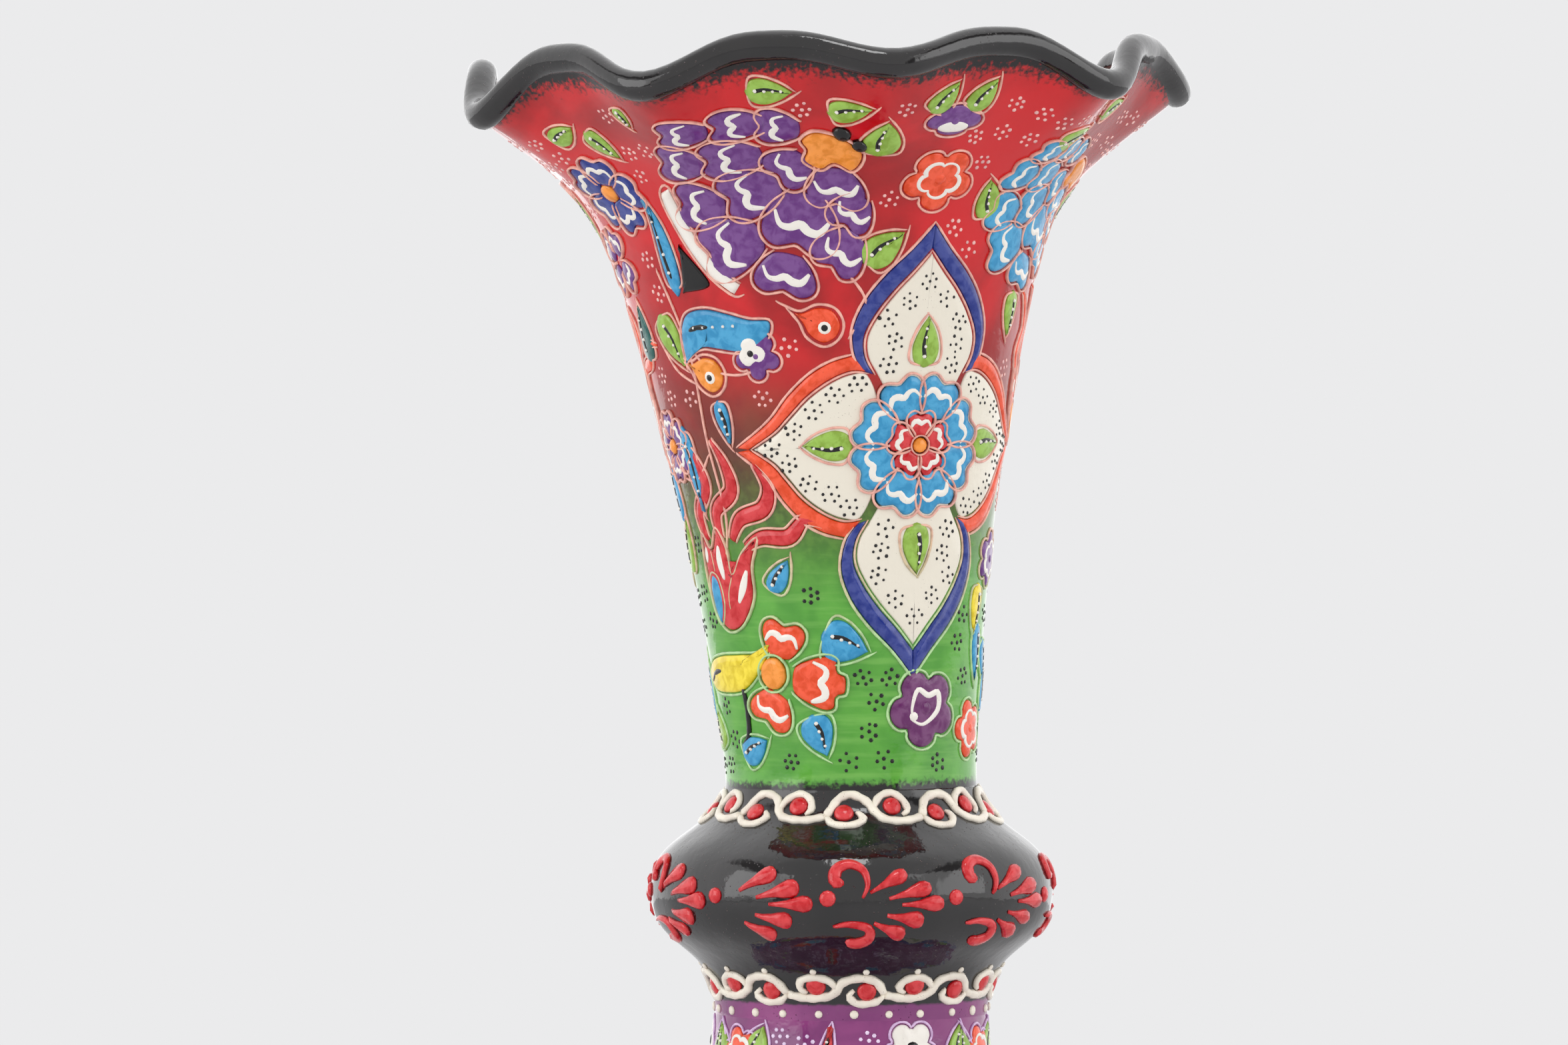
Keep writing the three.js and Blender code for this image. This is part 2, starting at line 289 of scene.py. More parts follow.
knop = girth("knop")
upper_collar = 29.3
upper_seam = seam("trumpet")
knop_height = 204.0
knop_low = knop_height - lower_seam
knop_high = upper_seam - knop_height
knop_line = np.vstack([
    curved((lower_collar, lower_seam), (lower_collar, lower_seam + 0.62 * knop_low),
           (knop, knop_height - 0.53 * knop_low), (knop, knop_height), 30),
    curved((knop, knop_height), (knop, knop_height + 0.55 * knop_high),
           (upper_collar + 3.8, upper_seam - 0.48 * knop_high), (upper_collar, upper_seam), 28)[1:],
])
black_glaze = fired("black_glaze", black_recipe, 0.8 * MM, IOR=1.6)
fitted(thrown("knop_clay", shell(knop_line)), black_glaze, "black_glaze", "knop")


# The trumpet: a thrown tube whose lip is pulled into nine spouts while the clay is soft. It is
# glazed red above and green below, with a brown overlap between, and black along its edges.
THROAT = 356.0
CREST = 395.8
CREST_RADIUS = 78.0
SPOUT_REACH = 5.0
SPOUT_DROPS = np.array([5, 9.5, 9, 8.5, 8, 9, 8, 11, 8])
FIRST_SPOUT = math.radians(11.5)
LEAN_START = upper_seam - 6
LEAN_LENGTH = 16.0
LEAN_SLOPE = 0.047
LIP_TILT = 0.03


def pulled(angle):
    """How far the lip is pulled into a spout here, 0 to 1, and how far that spout drops."""
    turns = (angle - FIRST_SPOUT) / (2 * math.pi / 9)
    nearest = np.round(turns)
    pull = ((1 + np.cos(2 * math.pi * (turns - nearest))) / 2) ** 1.5
    return pull, SPOUT_DROPS[nearest.astype(int) % 9]


def settled(angle, radius, height, level):
    """Where clay comes to rest, in metres, once the lip is pulled and the trumpet leans."""
    pull, drop = pulled(angle)
    t = np.clip((level - THROAT) / (CREST - THROAT), 0, 1)
    radius = radius + SPOUT_REACH * pull * t**1.5
    height = height - drop * pull * (0.5 * t**1.5 + 0.5 * t**4)
    across = radius * np.sin(angle)
    rise = np.maximum(height - LEAN_START, 0)
    ease = np.minimum(rise / LEAN_LENGTH, 1)
    shift = LEAN_SLOPE * (rise - LEAN_LENGTH * ease * (2 - ease) / 2)
    place = (across - shift, -radius * np.cos(angle), height + LIP_TILT * across * ease)
    return np.stack(place, -1) * MM


def pull_lip(piece, level=None):
    """Moves a turned piece's clay to where it settles and marks how high it was thrown."""
    mesh = piece.data
    place = np.empty(len(mesh.vertices) * 3)
    mesh.vertices.foreach_get("co", place)
    x, y, z = place.reshape(-1, 3).T / MM
    angle = np.arctan2(x, -y)
    there = settled(angle, np.hypot(x, y), z, z if level is None else np.full_like(z, level))
    mesh.vertices.foreach_set("co", there.ravel())
    mark = mesh.attributes.new("thrown_height", "FLOAT", "POINT")
    mark.data.foreach_set("value", z)
    mesh.update()
    return np.hypot(x, y), z


RED_OVER = (304, 332)
BROWN_OVER = (288, 308)
OLIVE_OVER = (270, 294)
EDGE_BLACK = 388
SEAM_BLACK = 230.6


def red_green_recipe(wire):
    high = wire.attribute("thrown_height", 2)
    inner = wire.attribute("inside", 2)
    drift = 12 * (wire.noise(38, 4, 0.4) - 0.5)
    red = wire.noise(32, 5, 0.5).between(0.36, 0.62).turning(colour(158, 4, 10), colour(206, 17, 25))
    brown = wire.noise(120, 4).between(0.3, 0.7).turning(colour(84, 36, 24), colour(106, 56, 34))
    streaks = wire.add("Mapping", None, {0: wire.add("TexCoord", out="Object"), 3: (60, 60, 620)})
    brushed = wire.add("TexNoise", None, {"Vector": streaks, "Scale": 1.0, "Detail": 3.0})
    green = wire.noise(95, 5, 0.6).between(0.28, 0.72).turning(colour(72, 146, 46), colour(94, 168, 60))
    green = (0.5 * brushed.between(0.45, 0.75)).turning(green, colour(122, 184, 84))
    olive = wire.noise(500, 3).between(0.35, 0.65).turning(colour(66, 94, 34), colour(88, 120, 46))
    green = (high + drift).between(*OLIVE_OVER).turning(green, olive)
    ground = (high + drift).between(*RED_OVER).turning(brown, red)
    ground = (high + drift).between(*BROWN_OVER).turning(green, ground)
    ground = inner.between(0.3, 0.7).turning(ground, red)
    spatter = wire.noise(900, 3)
    edge = high + 9 * (spatter - 0.5) + 3 * (wire.noise(150, 2) - 0.5)
    edge = edge.between(EDGE_BLACK + 2.5 * inner, EDGE_BLACK + 3.5 + 2.5 * inner)
    seam_edge = (high + 4 * (spatter - 0.5)).between(SEAM_BLACK, SEAM_BLACK - 2) * (1 - inner)
    black = wire.maths("MAXIMUM", edge, seam_edge)
    paint = black.turning(ground, colour(14, 9, 11))
    roughness = 0.06 + 0.06 * wire.noise(200, 3) + 0.1 * black * spatter
    return paint, roughness, wire.noise(60, 2) + 0.12 * wire.noise(420, 2)


throat_end = (51.5, THROAT)
neck_line = curved((upper_collar, upper_seam), (27.9, 237.3), (38.1, 319), throat_end, 60)
throat_along = np.array([0.34, 0.94]) / math.hypot(0.34, 0.94)
lip_along = np.array([0.45, 0.89]) / math.hypot(0.45, 0.89)
throat_middle = np.array(throat_end) + WALL / 2 * np.array([-throat_along[1], throat_along[0]])
lip_middle = np.array([CREST_RADIUS, CREST]) - 2.2 * lip_along
throat_pull = throat_middle + 16.7 * throat_along
lip_pull = lip_middle - 15.1 * lip_along
mouth_middle = curved(throat_middle, throat_pull, lip_pull, lip_middle, 26)
trumpet_line = np.vstack([neck_line, stepped(mouth_middle, WALL / 2)[1:]])
bore_line = np.vstack([stepped(neck_line, -WALL), stepped(mouth_middle, -WALL / 2)[1:]])
bore_line[0, 1] = upper_seam
trumpet_clay = thrown("trumpet_clay", np.vstack([trumpet_line, bore_line[::-1]]))
radii, heights = pull_lip(trumpet_clay)
wall_middle = (trumpet_line + bore_line) / 2
inside = radii < np.interp(heights, wall_middle[:, 1], wall_middle[:, 0])
inside_mark = trumpet_clay.data.attributes.new("inside", "FLOAT", "POINT")
inside_mark.data.foreach_set("value", inside.astype(np.float32))
red_green_glaze = fired("red_green_glaze", red_green_recipe, 0.5 * MM, IOR=1.5)
fitted(trumpet_clay, red_green_glaze, "red_green_glaze", "trumpet")


# The rim roll: a coil of clay pressed along the whole ruffle to thicken the lip, brushed with
# the same black glaze as the knop.
LIP_ROLL = 3.5
turns = np.linspace(0, 2 * math.pi, 20, endpoint=False)
coil_outline = np.stack([
    CREST_RADIUS + LIP_ROLL * np.cos(turns),
    CREST + LIP_ROLL * np.sin(turns),
], 1)
rim_roll = thrown("rim_roll_clay", coil_outline)
pull_lip(rim_roll, CREST)
fitted(rim_roll, black_glaze, "black_glaze", "rim_roll")


# The knop's two running scrolls: white slip trailed wet from a nozzle round both collars, with a
# bead of red enamel dropped into each curl.
CREAM = colour(240, 232, 216)
RED = colour(212, 16, 28)


def brushed(red, green, blue):
    """A flat brushed colour, without the clouding of pooled enamel."""
    return (*colour(red, green, blue)[:3], 0)


BLACK = brushed(6, 5, 6)
WHITE = brushed(236, 231, 222)


class Skin:
    """The glazed face of a section: places on it are an angle, a height and mm from there."""

    def __init__(self, outline, inward=False):
        self.radii, self.heights = np.array(outline).T
        along = np.gradient(np.array(outline), axis=0)
        lengths = np.linalg.norm(along, axis=1)
        self.side = -1 if inward else 1
        self.out = self.side * np.stack([along[:, 1], -along[:, 0]], 1) / lengths[:, None]
        steps = np.hypot(np.diff(self.radii), np.diff(self.heights))
        self.run = np.concatenate([[0], np.cumsum(steps)])

    def place(self, angle, height, x, y, lift, ring):
        """Where x across, y up and lift off the clay come to, and how high they were thrown."""
        start = np.interp(height, self.heights, self.run)
        run = start + y
        radius = np.interp(run, self.run, self.radii)
        level = np.interp(run, self.run, self.heights)
        turn_radius = np.interp(start, self.run, self.radii) if ring else radius
        turned = angle + self.side * x / turn_radius
        outwards = np.interp(run, self.run, self.out[:, 0]) * lift
        upwards = np.interp(run, self.run, self.out[:, 1]) * lift
        return settled(turned, radius + outwards, level + upwards, level), level


def spread(at, marks, line):
    """The points of a line at these places along it."""
    return np.stack([np.interp(at, marks, line[:, 0]), np.interp(at, marks, line[:, 1])], 1)


def drawn(points, closed=False, step=0.8):
    """A freehand line through the points, in even steps. A point given twice is a corner."""
    knots = np.array(points, float)
    count = len(knots)
    span = count if closed else count - 1
    line = []
    for i in range(span):
        here, there = knots[i], knots[(i + 1) % count]
        if np.allclose(here, there):
            continue
        before = knots[i - 1] if closed or i else here
        after = knots[(i + 2) % count] if closed or i + 2 < count else there
        t = np.linspace(0, 1, 9)[:-1, None]
        leave, arrive = (there - before) / 2, (after - here) / 2
        line.append(
            (2 * t**3 - 3 * t**2 + 1) * here
            + (t**3 - 2 * t**2 + t) * leave
            + (3 * t**2 - 2 * t**3) * there
            + (t**3 - t**2) * arrive
        )
    line.append(knots[:1] if closed else knots[-1:])
    line = np.vstack(line)
    run = np.concatenate([[0], np.cumsum(np.hypot(*np.diff(line, axis=0).T))])
    stops = np.linspace(0, run[-1], max(int(run[-1] / step), 9) + 1)
    even = spread(stops, run, line)
    return even[:-1] if closed else even


def sideways(line, closed):
    """The unit direction to the left of a line at each of its points."""
    if closed:
        along = np.roll(line, -1, axis=0) - np.roll(line, 1, axis=0)
    else:
        along = np.gradient(line, axis=0)
    along /= np.maximum(np.hypot(*along.T), 1e-6)[:, None]
    return np.stack([-along[:, 1], along[:, 0]], 1)


def raised(profile, thick, count, ends=1.0):
    """How high each row of a lay stands off the clay, with its two ends pressed down."""
    lift = np.repeat(np.array(profile)[:, None] * thick, count, axis=1)
    lift[:, [0, -1]] *= ends
    return lift


class Painter:
    """Lays enamel on a skin, in mm about a motif's middle, as closed skins of glaze."""

    def __init__(self, skin, trail, ring=False):
        self.skin = skin
        self.trail = trail
        self.ring = ring
        self.points, self.paints, self.faces = [], [], []
        self.count = 0
        self.under = 0
        self.motif(0, 0)

    def motif(self, angle, height, turn=0, size=1.0):
        self.frame = (math.radians(angle), height, math.radians(turn), size)
        return self

    def lay(self, grid, lift, paint, loop, cap):
        """A grid of points, its rows from right to left of the way its columns run."""
        angle, height, turn, size = self.frame
        x = size * (grid[..., 0] * math.cos(turn) - grid[..., 1] * math.sin(turn))
        y = size * (grid[..., 0] * math.sin(turn) + grid[..., 1] * math.cos(turn))
        place, level = self.skin.place(angle, height, x, y, lift + self.under, self.ring)
        rows, columns = level.shape
        base, self.count = self.count, self.count + rows * columns
        self.points.append(place.reshape(-1, 3))
        wash = self.trail(level) if paint is None else np.broadcast_to(paint, (rows, columns, 4))
        self.paints.append(wash.reshape(-1, 4))
        steps = columns if loop else columns - 1

        def at(row, column):
            return base + row * columns + column % columns

        for row in range(rows - 1):
            for i in range(steps):
                self.faces.append((at(row, i), at(row, i + 1), at(row + 1, i + 1), at(row + 1, i)))
        if cap:
            self.faces.append([at(rows - 1, i) for i in range(columns)])
            self.faces.append([at(0, i) for i in reversed(range(columns))])
            return
        for i in range(steps):
            self.faces.append((at(0, i), at(rows - 1, i), at(rows - 1, i + 1), at(0, i + 1)))
        if not loop:
            self.faces.append([at(row, 0) for row in range(rows)])
            self.faces.append([at(row, columns - 1) for row in reversed(range(rows))])

    def fill(self, points, paint, inset=0.8, thick=0.5, soft=0.5):
        """A pool of enamel inside an outline that runs anticlockwise round its middle."""
        outline = drawn(points, True, 0.9)
        middle = outline.mean(axis=0)

        def shrunk(line, distance):
            centre = middle - line
            reach = np.maximum(np.hypot(*centre.T), 1e-6)[:, None]
            inwards = sideways(line, True) + centre / reach
            inwards /= np.maximum(np.hypot(*inwards.T), 1e-6)[:, None]
            return line + inwards * np.minimum(distance, 0.3 * reach)

        edge = shrunk(outline, inset) if inset else outline
        shoulder = shrunk(edge, 0.34)
        crown = shrunk(shoulder, soft)
        rings = [edge, shoulder, crown]
        rings += [middle + (crown - middle) * share for share in (0.68, 0.36)]
        lift = raised([-0.12, 0.66, 0.94, 1, 1], thick, len(edge))
        self.lay(np.stack(rings), lift, paint, True, True)

    def ribbon(self, line, widths, paint, thick, closed=False):
        """A rounded strip of enamel along a line, with its width at each point."""
        left = sideways(line, closed)
        across = np.array([-0.5, -0.36, 0, 0.36, 0.5])
        grid = line[None] + across[:, None, None] * np.array(widths)[None, :, None] * left[None]
        lift = raised([-0.15, 0.7, 1, 0.7, -0.15], thick, len(line), 1 if closed else 0.3)
        self.lay(grid, lift, paint, closed, False)

    def line(self, points, width=0.75, thick=0.45, paint=None, closed=False, taper=0.5):
        """A trailed line of even width, drawn out at its ends."""
        line = drawn(points, closed)
        widths = width * (1 + 0.1 * np.sin(np.arange(len(line)) * 1.7 + len(line)))
        if not closed:
            ends = np.minimum(np.arange(len(line)), np.arange(len(line))[::-1])
            widths = widths * (taper + (1 - taper) * np.minimum(ends / 3, 1))
        self.ribbon(line, widths, paint, thick, closed)

    def brush(self, path, widths, paint, closed=False):
        """A loaded brush drawn along a path on enamel that is already there."""
        self.under += 0.5
        self.ribbon(path, widths, paint, 0.24, closed)
        self.under -= 0.5

    def stroke(self, points, width, paint=WHITE, peak=1.0):
        """One touch of the brush: thin where it lands and where it lifts."""
        path = drawn(points, step=0.6)
        share = np.linspace(0, 1, len(path))
        self.brush(path, width * (0.3 + 0.7 * np.sin(math.pi * share**peak)), paint)

    def band(self, right, left, paint, thick=0.5, inset=0.4):
        """A strip of enamel between two lines that run the same way."""
        first, second = drawn(right), drawn(left)
        share = np.linspace(0, 1, max(len(first), len(second)))
        lines = [spread(share, np.linspace(0, 1, len(side)), side) for side in (first, second)]
        gap = np.maximum(np.hypot(*(lines[1] - lines[0]).T), 0.2)[:, None]
        edge = np.minimum(inset / gap, 0.35)
        cuts = [edge, edge + 0.08, 0.5 + 0 * edge, 0.92 - edge, 1 - edge]
        grid = np.stack([lines[0] + (lines[1] - lines[0]) * cut for cut in cuts])
        lift = raised([-0.12, 0.7, 1, 0.7, -0.12], thick, len(share), 0.3)
        self.lay(grid, lift, paint, False, False)

    def drop(self, tail, head, width, paint, thick):
        """A comma of enamel, thin at its tail and round at its head."""
        tail, head = np.array(tail, float), np.array(head, float)
        share = np.array([0, 0.2, 0.42, 0.62, 0.78, 0.9, 0.97, 1])
        widths = width * np.array([0.22, 0.3, 0.5, 0.82, 1, 0.9, 0.6, 0.2])
        self.ribbon(tail + share[:, None] * (head - tail), widths, paint, thick)

    def dot(self, x, y, radius, paint, thick=0.3, sides=6):
        """A touch of the brush: a low round dome."""
        turn = np.linspace(0, 2 * math.pi, sides, endpoint=False)
        circle = np.stack([np.cos(turn), np.sin(turn)], 1)
        rings = [(x, y) + radius * share * circle for share in (1, 0.85, 0.45)]
        lift = np.repeat(np.array([-0.1, 0.6 * thick, thick])[:, None], sides, axis=1)
        self.lay(np.stack(rings), lift, paint, True, True)

    def places(self):
        return np.vstack(self.points)

    def finished(self, name, finish, slot, *nodes):
        """Makes the piece from all that has been laid."""
        mesh = bpy.data.meshes.new(name)
        mesh.from_pydata(np.vstack(self.points).tolist(), [], self.faces)
        paint = mesh.color_attributes.new("paint", "FLOAT_COLOR", "POINT")
        paint.data.foreach_set("color", np.vstack(self.paints).ravel())
        mesh.polygons.foreach_set("use_smooth", [True] * len(mesh.polygons))
        mesh.validate()
        piece = bpy.data.objects.new(name, mesh)
        bpy.context.scene.collection.objects.link(piece)
        fitted(piece, finish, slot, *nodes)


def slip_recipe(wire):
    cloud = wire.noise(260, 3)
    shade = cloud.between(0.3, 0.7).turning(colour(226, 216, 202), CREAM)
    paint = wire.specks(1300).between(0.14, 0.05).turning(shade, colour(120, 96, 84))
    return paint, 0.16 + 0.12 * cloud, cloud + 0.3 * wire.noise(1200, 2)


def enamel_recipe(wire):
    paint = wire.attribute("paint", 0)
    pooled = wire.attribute("paint", 3)
    dark = wire.add("Mix", {"data_type": "RGBA", "blend_type": "MULTIPLY"},
                    {0: 1.0, 6: paint, 7: (0.78, 0.74, 0.8, 1)}, 2)
    pale = wire.add("Mix", {"data_type": "RGBA", "blend_type": "SCREEN"},
                    {0: 0.04, 6: paint, 7: (1, 1, 1, 1)}, 2)
    shade = pooled.turning(paint, wire.noise(420, 5, 0.5).between(0.34, 0.62).turning(dark, pale))
    pits = wire.specks(1500).between(0.13, 0.06) * wire.noise(210).between(0.5, 0.62)
    shade = (0.6 * pits).turning(shade, colour(30, 24, 34))
    roughness = 0.08 + 0.08 * wire.noise(500, 2) + 0.2 * pits
    return shade, roughness, wire.noise(380, 3) - 0.8 * pits


white_slip = fired("white_slip", slip_recipe, 0.12 * MM, IOR=1.5)
enamel = fired("enamel", enamel_recipe, 0.1 * MM, IOR=1.48)
knop_skin = Skin(knop_line)


def plain(level):
    """Slip white wherever it is trailed."""
    return np.broadcast_to(CREAM, (*level.shape, 4))


WAVES = 9
WAVE_LENGTH = 22


def scroll(name, height, first, mirror, tall):
    """One running scroll: its line with curls and hooks, and the beads in them."""
    line, beads = (Painter(knop_skin, plain, ring=True) for _ in range(2))
    shake = random.Random(name)
    wave_turn = 360 / WAVES
    arc = math.radians(wave_turn) * np.interp(height, knop_skin.heights, knop_skin.radii)
    stretch = arc / WAVE_LENGTH
    for wave in range(WAVES):
        place = first + wave_turn * wave

        def bent(points):
            wander = [(shake.uniform(-0.3, 0.3), shake.uniform(-0.25, 0.25)) for _ in points]
            wander[0] = wander[-1] = (0, 0)
            return [(mirror * stretch * (x + a), tall * y + b) for (x, y), (a, b) in zip(points, wander)]

        for painter in (line, beads):
            painter.motif(place, height)
        line.line(bent([(-3.8, -0.4), (-1.4, 3.9), (1.9, 5.2), (5.2, 3.9), (7.1, 0.6), (9.5, -1.3),
                        (13.7, -1.8), (18.2, -0.4)]), 2.3, 1.0, CREAM, taper=0.9)
        line.line(bent([(-3.8, -0.4), (-1.6, -2.7), (2.2, -3), (4.3, -1.1), (3, 1)]),
                  2.05, 0.95, CREAM)
        line.line(bent([(6.8, 1.2), (8.3, 4.1), (11.5, 5.5), (14.3, 4), (14.8, 1.4), (13.4, 0.1)]),
                  2.05, 0.95, CREAM)
        for x, y, size in ((0.2, 0.6, 2.4), (11.4, 2.3, 2.45)):
            beads.dot(mirror * stretch * x, tall * y, size * shake.uniform(0.92, 1.05), RED, 0.95, 16)
    nodes = [f"{name}_bead_{i:02d}" for i in range(1, 19)]
    line.finished(f"{name}_line", white_slip, "white_slip", f"{name}_trail")
    beads.finished(f"{name}_drops", enamel, "enamel", *nodes)


scroll("upper_scroll", upper_seam - 5.6, -4, 1, 1.06)
scroll("lower_scroll", lower_seam + 6.4, 6, -1, 0.78)


# The knop's sprays: nine fans of red drops, all but one with a pair of hooks behind, squeezed
# thick from the nozzle on to the black and fired raised.
FANS = (-59, -24.5, 13.5, 54, 95, 136, 177, 219, 260)
HOOKLESS = -24.5
sprays = Painter(knop_skin, plain, ring=True)
unsteady = random.Random(5)
for fan in FANS:
    sprays.motif(fan, 202.6, unsteady.uniform(-3, 3), unsteady.uniform(0.94, 1.06))
    for tail, head in (
        ((-7.1, 2.8), (1.4, 7.4)),
        ((-2.8, 1.4), (7.1, 4)),
        ((0.2, 0), (10.2, 0.2)),
        ((-3.2, -2.4), (5.4, -3.9)),
        ((-6.2, -4.2), (1.1, -7.6)),
    ):
        sprays.drop(tail, head, unsteady.uniform(3.9, 4.6), RED, 0.95)
    sprays.dot(13.4, 1.4, 1.9, RED, 0.8, 12)
    if fan == HOOKLESS:
        continue
    for side, hook in (
        (1, [(-8.8, 1.6), (-7.6, 4.6), (-8.6, 8), (-11.8, 9.6), (-14.8, 8.2), (-15, 5.4), (-13, 5)]),
        (-1, [(-15.6, 5), (-12, 4.4), (-7.6, 5.4), (-7.2, 8.2), (-10.2, 9.8), (-12.8, 9)]),
    ):
        path = drawn([(x, side * y) for x, y in hook])
        share = np.linspace(0, 1, len(path))
        sprays.ribbon(path, np.interp(share, [0, 0.25, 0.8, 0.94, 1], [0.7, 1.7, 3.4, 3, 0.9]), RED, 0.95)
sprays.finished("knop_sprays", enamel, "enamel")


# The white beads beside the lower scroll: small ones on the black above it and larger ones on
# the purple below it, touched on with the tip of the nozzle, in rows right round.
beading = Painter(knop_skin, plain, ring=True)
for bead in range(18):
    beading.motif(20 * bead + 5, lower_seam + 11.4)
    beading.dot(0, 0, 0.85, CREAM, 0.5, 8)
beading.finished("knop_white_beads", white_slip, "white_slip")
beading = Painter(knop_skin, plain, ring=True)
for bead in range(24):
    beading.motif(15 * bead + unsteady.uniform(-1, 1), lower_seam + 1.5)
    beading.dot(0, 0, unsteady.uniform(0.95, 1.3), CREAM, 0.6, 10)
beading.finished("collar_white_beads", white_slip, "white_slip")


# The trumpet's painting: enamel flowers, leaves and medallions, each pooled inside a line of pale
# slip and fired raised, with sprinklings of dots on the ground between them.
ORANGE = colour(242, 72, 0)
AMBER = colour(248, 148, 28)
PURPLE = colour(108, 46, 132)
PLUM = colour(106, 28, 100)
BLUE = colour(14, 44, 138)
TURQUOISE = colour(44, 156, 204)
LEAF = colour(146, 188, 60)
YELLOW = colour(244, 220, 20)
IVORY = brushed(230, 223, 207)
ROSE = np.array(colour(240, 176, 158))
MINT = np.array(colour(178, 220, 152))


def rose_or_mint(level):
    """Slip stained pink over the red ground and pale green over the green."""
    share = np.clip((level - 262) / 30, 0, 1)[..., None]
    return MINT + share * (ROSE - MINT)


def turned(points, x, y, way, length, width):
    """Points along and across a shape, from its foot at x, y, once it is turned that way."""
    turn = math.radians(way)
    return [(x + length * a * math.cos(turn) - width * b * math.sin(turn),
             y + length * a * math.sin(turn) + width * b * math.cos(turn)) for a, b in points]


def petal(painter, x, y, way, length, width, paint, lobed=2):
    """A heart-shaped petal from its point at x, y, with a white brushstroke along its cleft end."""
    outline = [(0, -0.42), (0.28, -0.8), (0.62, -1), (0.88, -0.9), (1.01, -0.52), (0.9, -0.05),
               (0.9, 0.05), (1.01, 0.52), (0.88, 0.9), (0.62, 1), (0.28, 0.8), (0, 0.42)]
    if lobed == 3:
        outline[3:9] = [(0.82, -0.86), (0.84, -0.46), (1, -0.3), (1, 0.3), (0.84, 0.46), (0.82, 0.86)]
    outline = turned(outline, x, y, way, length, width / 2)
    painter.fill(outline, paint, 0.5, 0.62, 1.1)
    painter.line(outline, 0.68, 0.8, taper=0.8)
    touch = [(0.38, -0.68), (0.6, -0.5), (0.62, -0.24), (0.54, 0), (0.62, 0.24), (0.6, 0.5), (0.38, 0.68)]
    touch = turned(touch, x, y, way, length, width / 2)
    painter.stroke(touch, 0.8 + 0.105 * width, peak=0.7 + 0.8 * abs(math.sin(3 * x + y)))


def leaf(painter, x, y, way, length, width, paint=LEAF, tail=1.2):
    """A leaf from its stalk at x, y: enamel, a black vein with white dots, and its line."""

    def at(points):
        return turned(points, x, y, way, length, width)

    right = [(0, -0.1), (0.12, -0.42), (0.4, -0.54), (0.74, -0.34)]
    left = [(0.74, 0.3), (0.4, 0.5), (0.12, 0.42), (0, 0.1)]
    outline = at([*right, (1, 0), (1, 0), *left])
    painter.fill(outline, paint, 0.55, 0.62)
    painter.line(at([(1, 0), *left[:3], *right[1:], (1 + tail / length, 0.06)]), 0.68, taper=0.4)
    path = drawn(at([(0.16, 0), (0.45, 0.1), (0.82, 0)]))
    share = np.linspace(0, 1, len(path))
    painter.ribbon(path, np.interp(share, [0, 0.12, 0.4, 1], [0.6, 2.1, 1.7, 0.5]), BLACK, 0.8)
    for share in (0.24, 0.41, 0.57, 0.72):
        (a, b), = at([(share, 0.05)])
        painter.dot(a, b, 0.7 - 0.32 * share, WHITE, 1.0)


def lobes(count, radius, depth, turn=0, squash=1.0):
    """The outline of a flower of round lobes."""
    around = np.radians(turn) + np.linspace(0, 2 * math.pi, 10 * count, endpoint=False)
    swell = np.abs(np.sin(count * (around - np.radians(turn)) / 2)) ** 0.7
    reach = radius * (1 - depth + depth * swell)
    return np.stack([reach * np.cos(around), squash * reach * np.sin(around)], 1)


def flower(painter, count, radius, paint, heart, ring=0.58, turn=0, squash=1.0, depth=0.3):
    """A round flower: lobes with a white ring brushed round inside them, and a heart."""
    painter.fill(lobes(count, radius, depth, turn, squash), paint, 0.5, 0.62, 1.1)
    painter.line(lobes(count, radius, depth, turn, squash), 0.68, closed=True)
    if ring:
        inner = lobes(count, ring * radius, 0.8 * depth, turn, squash)
        widths = 1.15 + 0.4 * np.sin(np.linspace(0, 4 * math.pi, len(inner)) + radius)
        painter.brush(inner, widths, WHITE, True)
    painter.dot(0, 0, radius * 0.2, heart, 0.85, 12)


def whorl(painter, first, count, reach, length, width, paint):
    """Petals in a ring, this far out from the motif's middle."""
    for step in range(count):
        way = first + 360 / count * step
        out = math.radians(way)
        petal(painter, reach * math.cos(out), reach * math.sin(out), way, length, width, paint)


def comma(painter, paint):
    """A curled bud with an eye and a tail."""
    body = [(0, -4.6), (3.4, -3), (4.6, 0.4), (2.8, 3.8), (-1, 4.8), (-4.6, 3.6), (-6.8, 3.4),
            (-5.2, 0.8), (-3.4, -2.6)]
    painter.fill(body, paint, 0.55, 0.6)
    tail = [(-10.5, 6.2), (-8.4, 5), (-5, 3.6), (-1, 5), (3, 4), (4.8, 0.4), (3.5, -3.2), (0, -4.9),
            (-3.8, -2.6), (-5.4, 1), (-8.2, 4.6)]
    painter.line(tail)
    painter.dot(0.4, -0.4, 2.1, WHITE, 0.8, 12)
    painter.dot(0.4, -0.4, 1.3, BLACK, 0.95, 10)


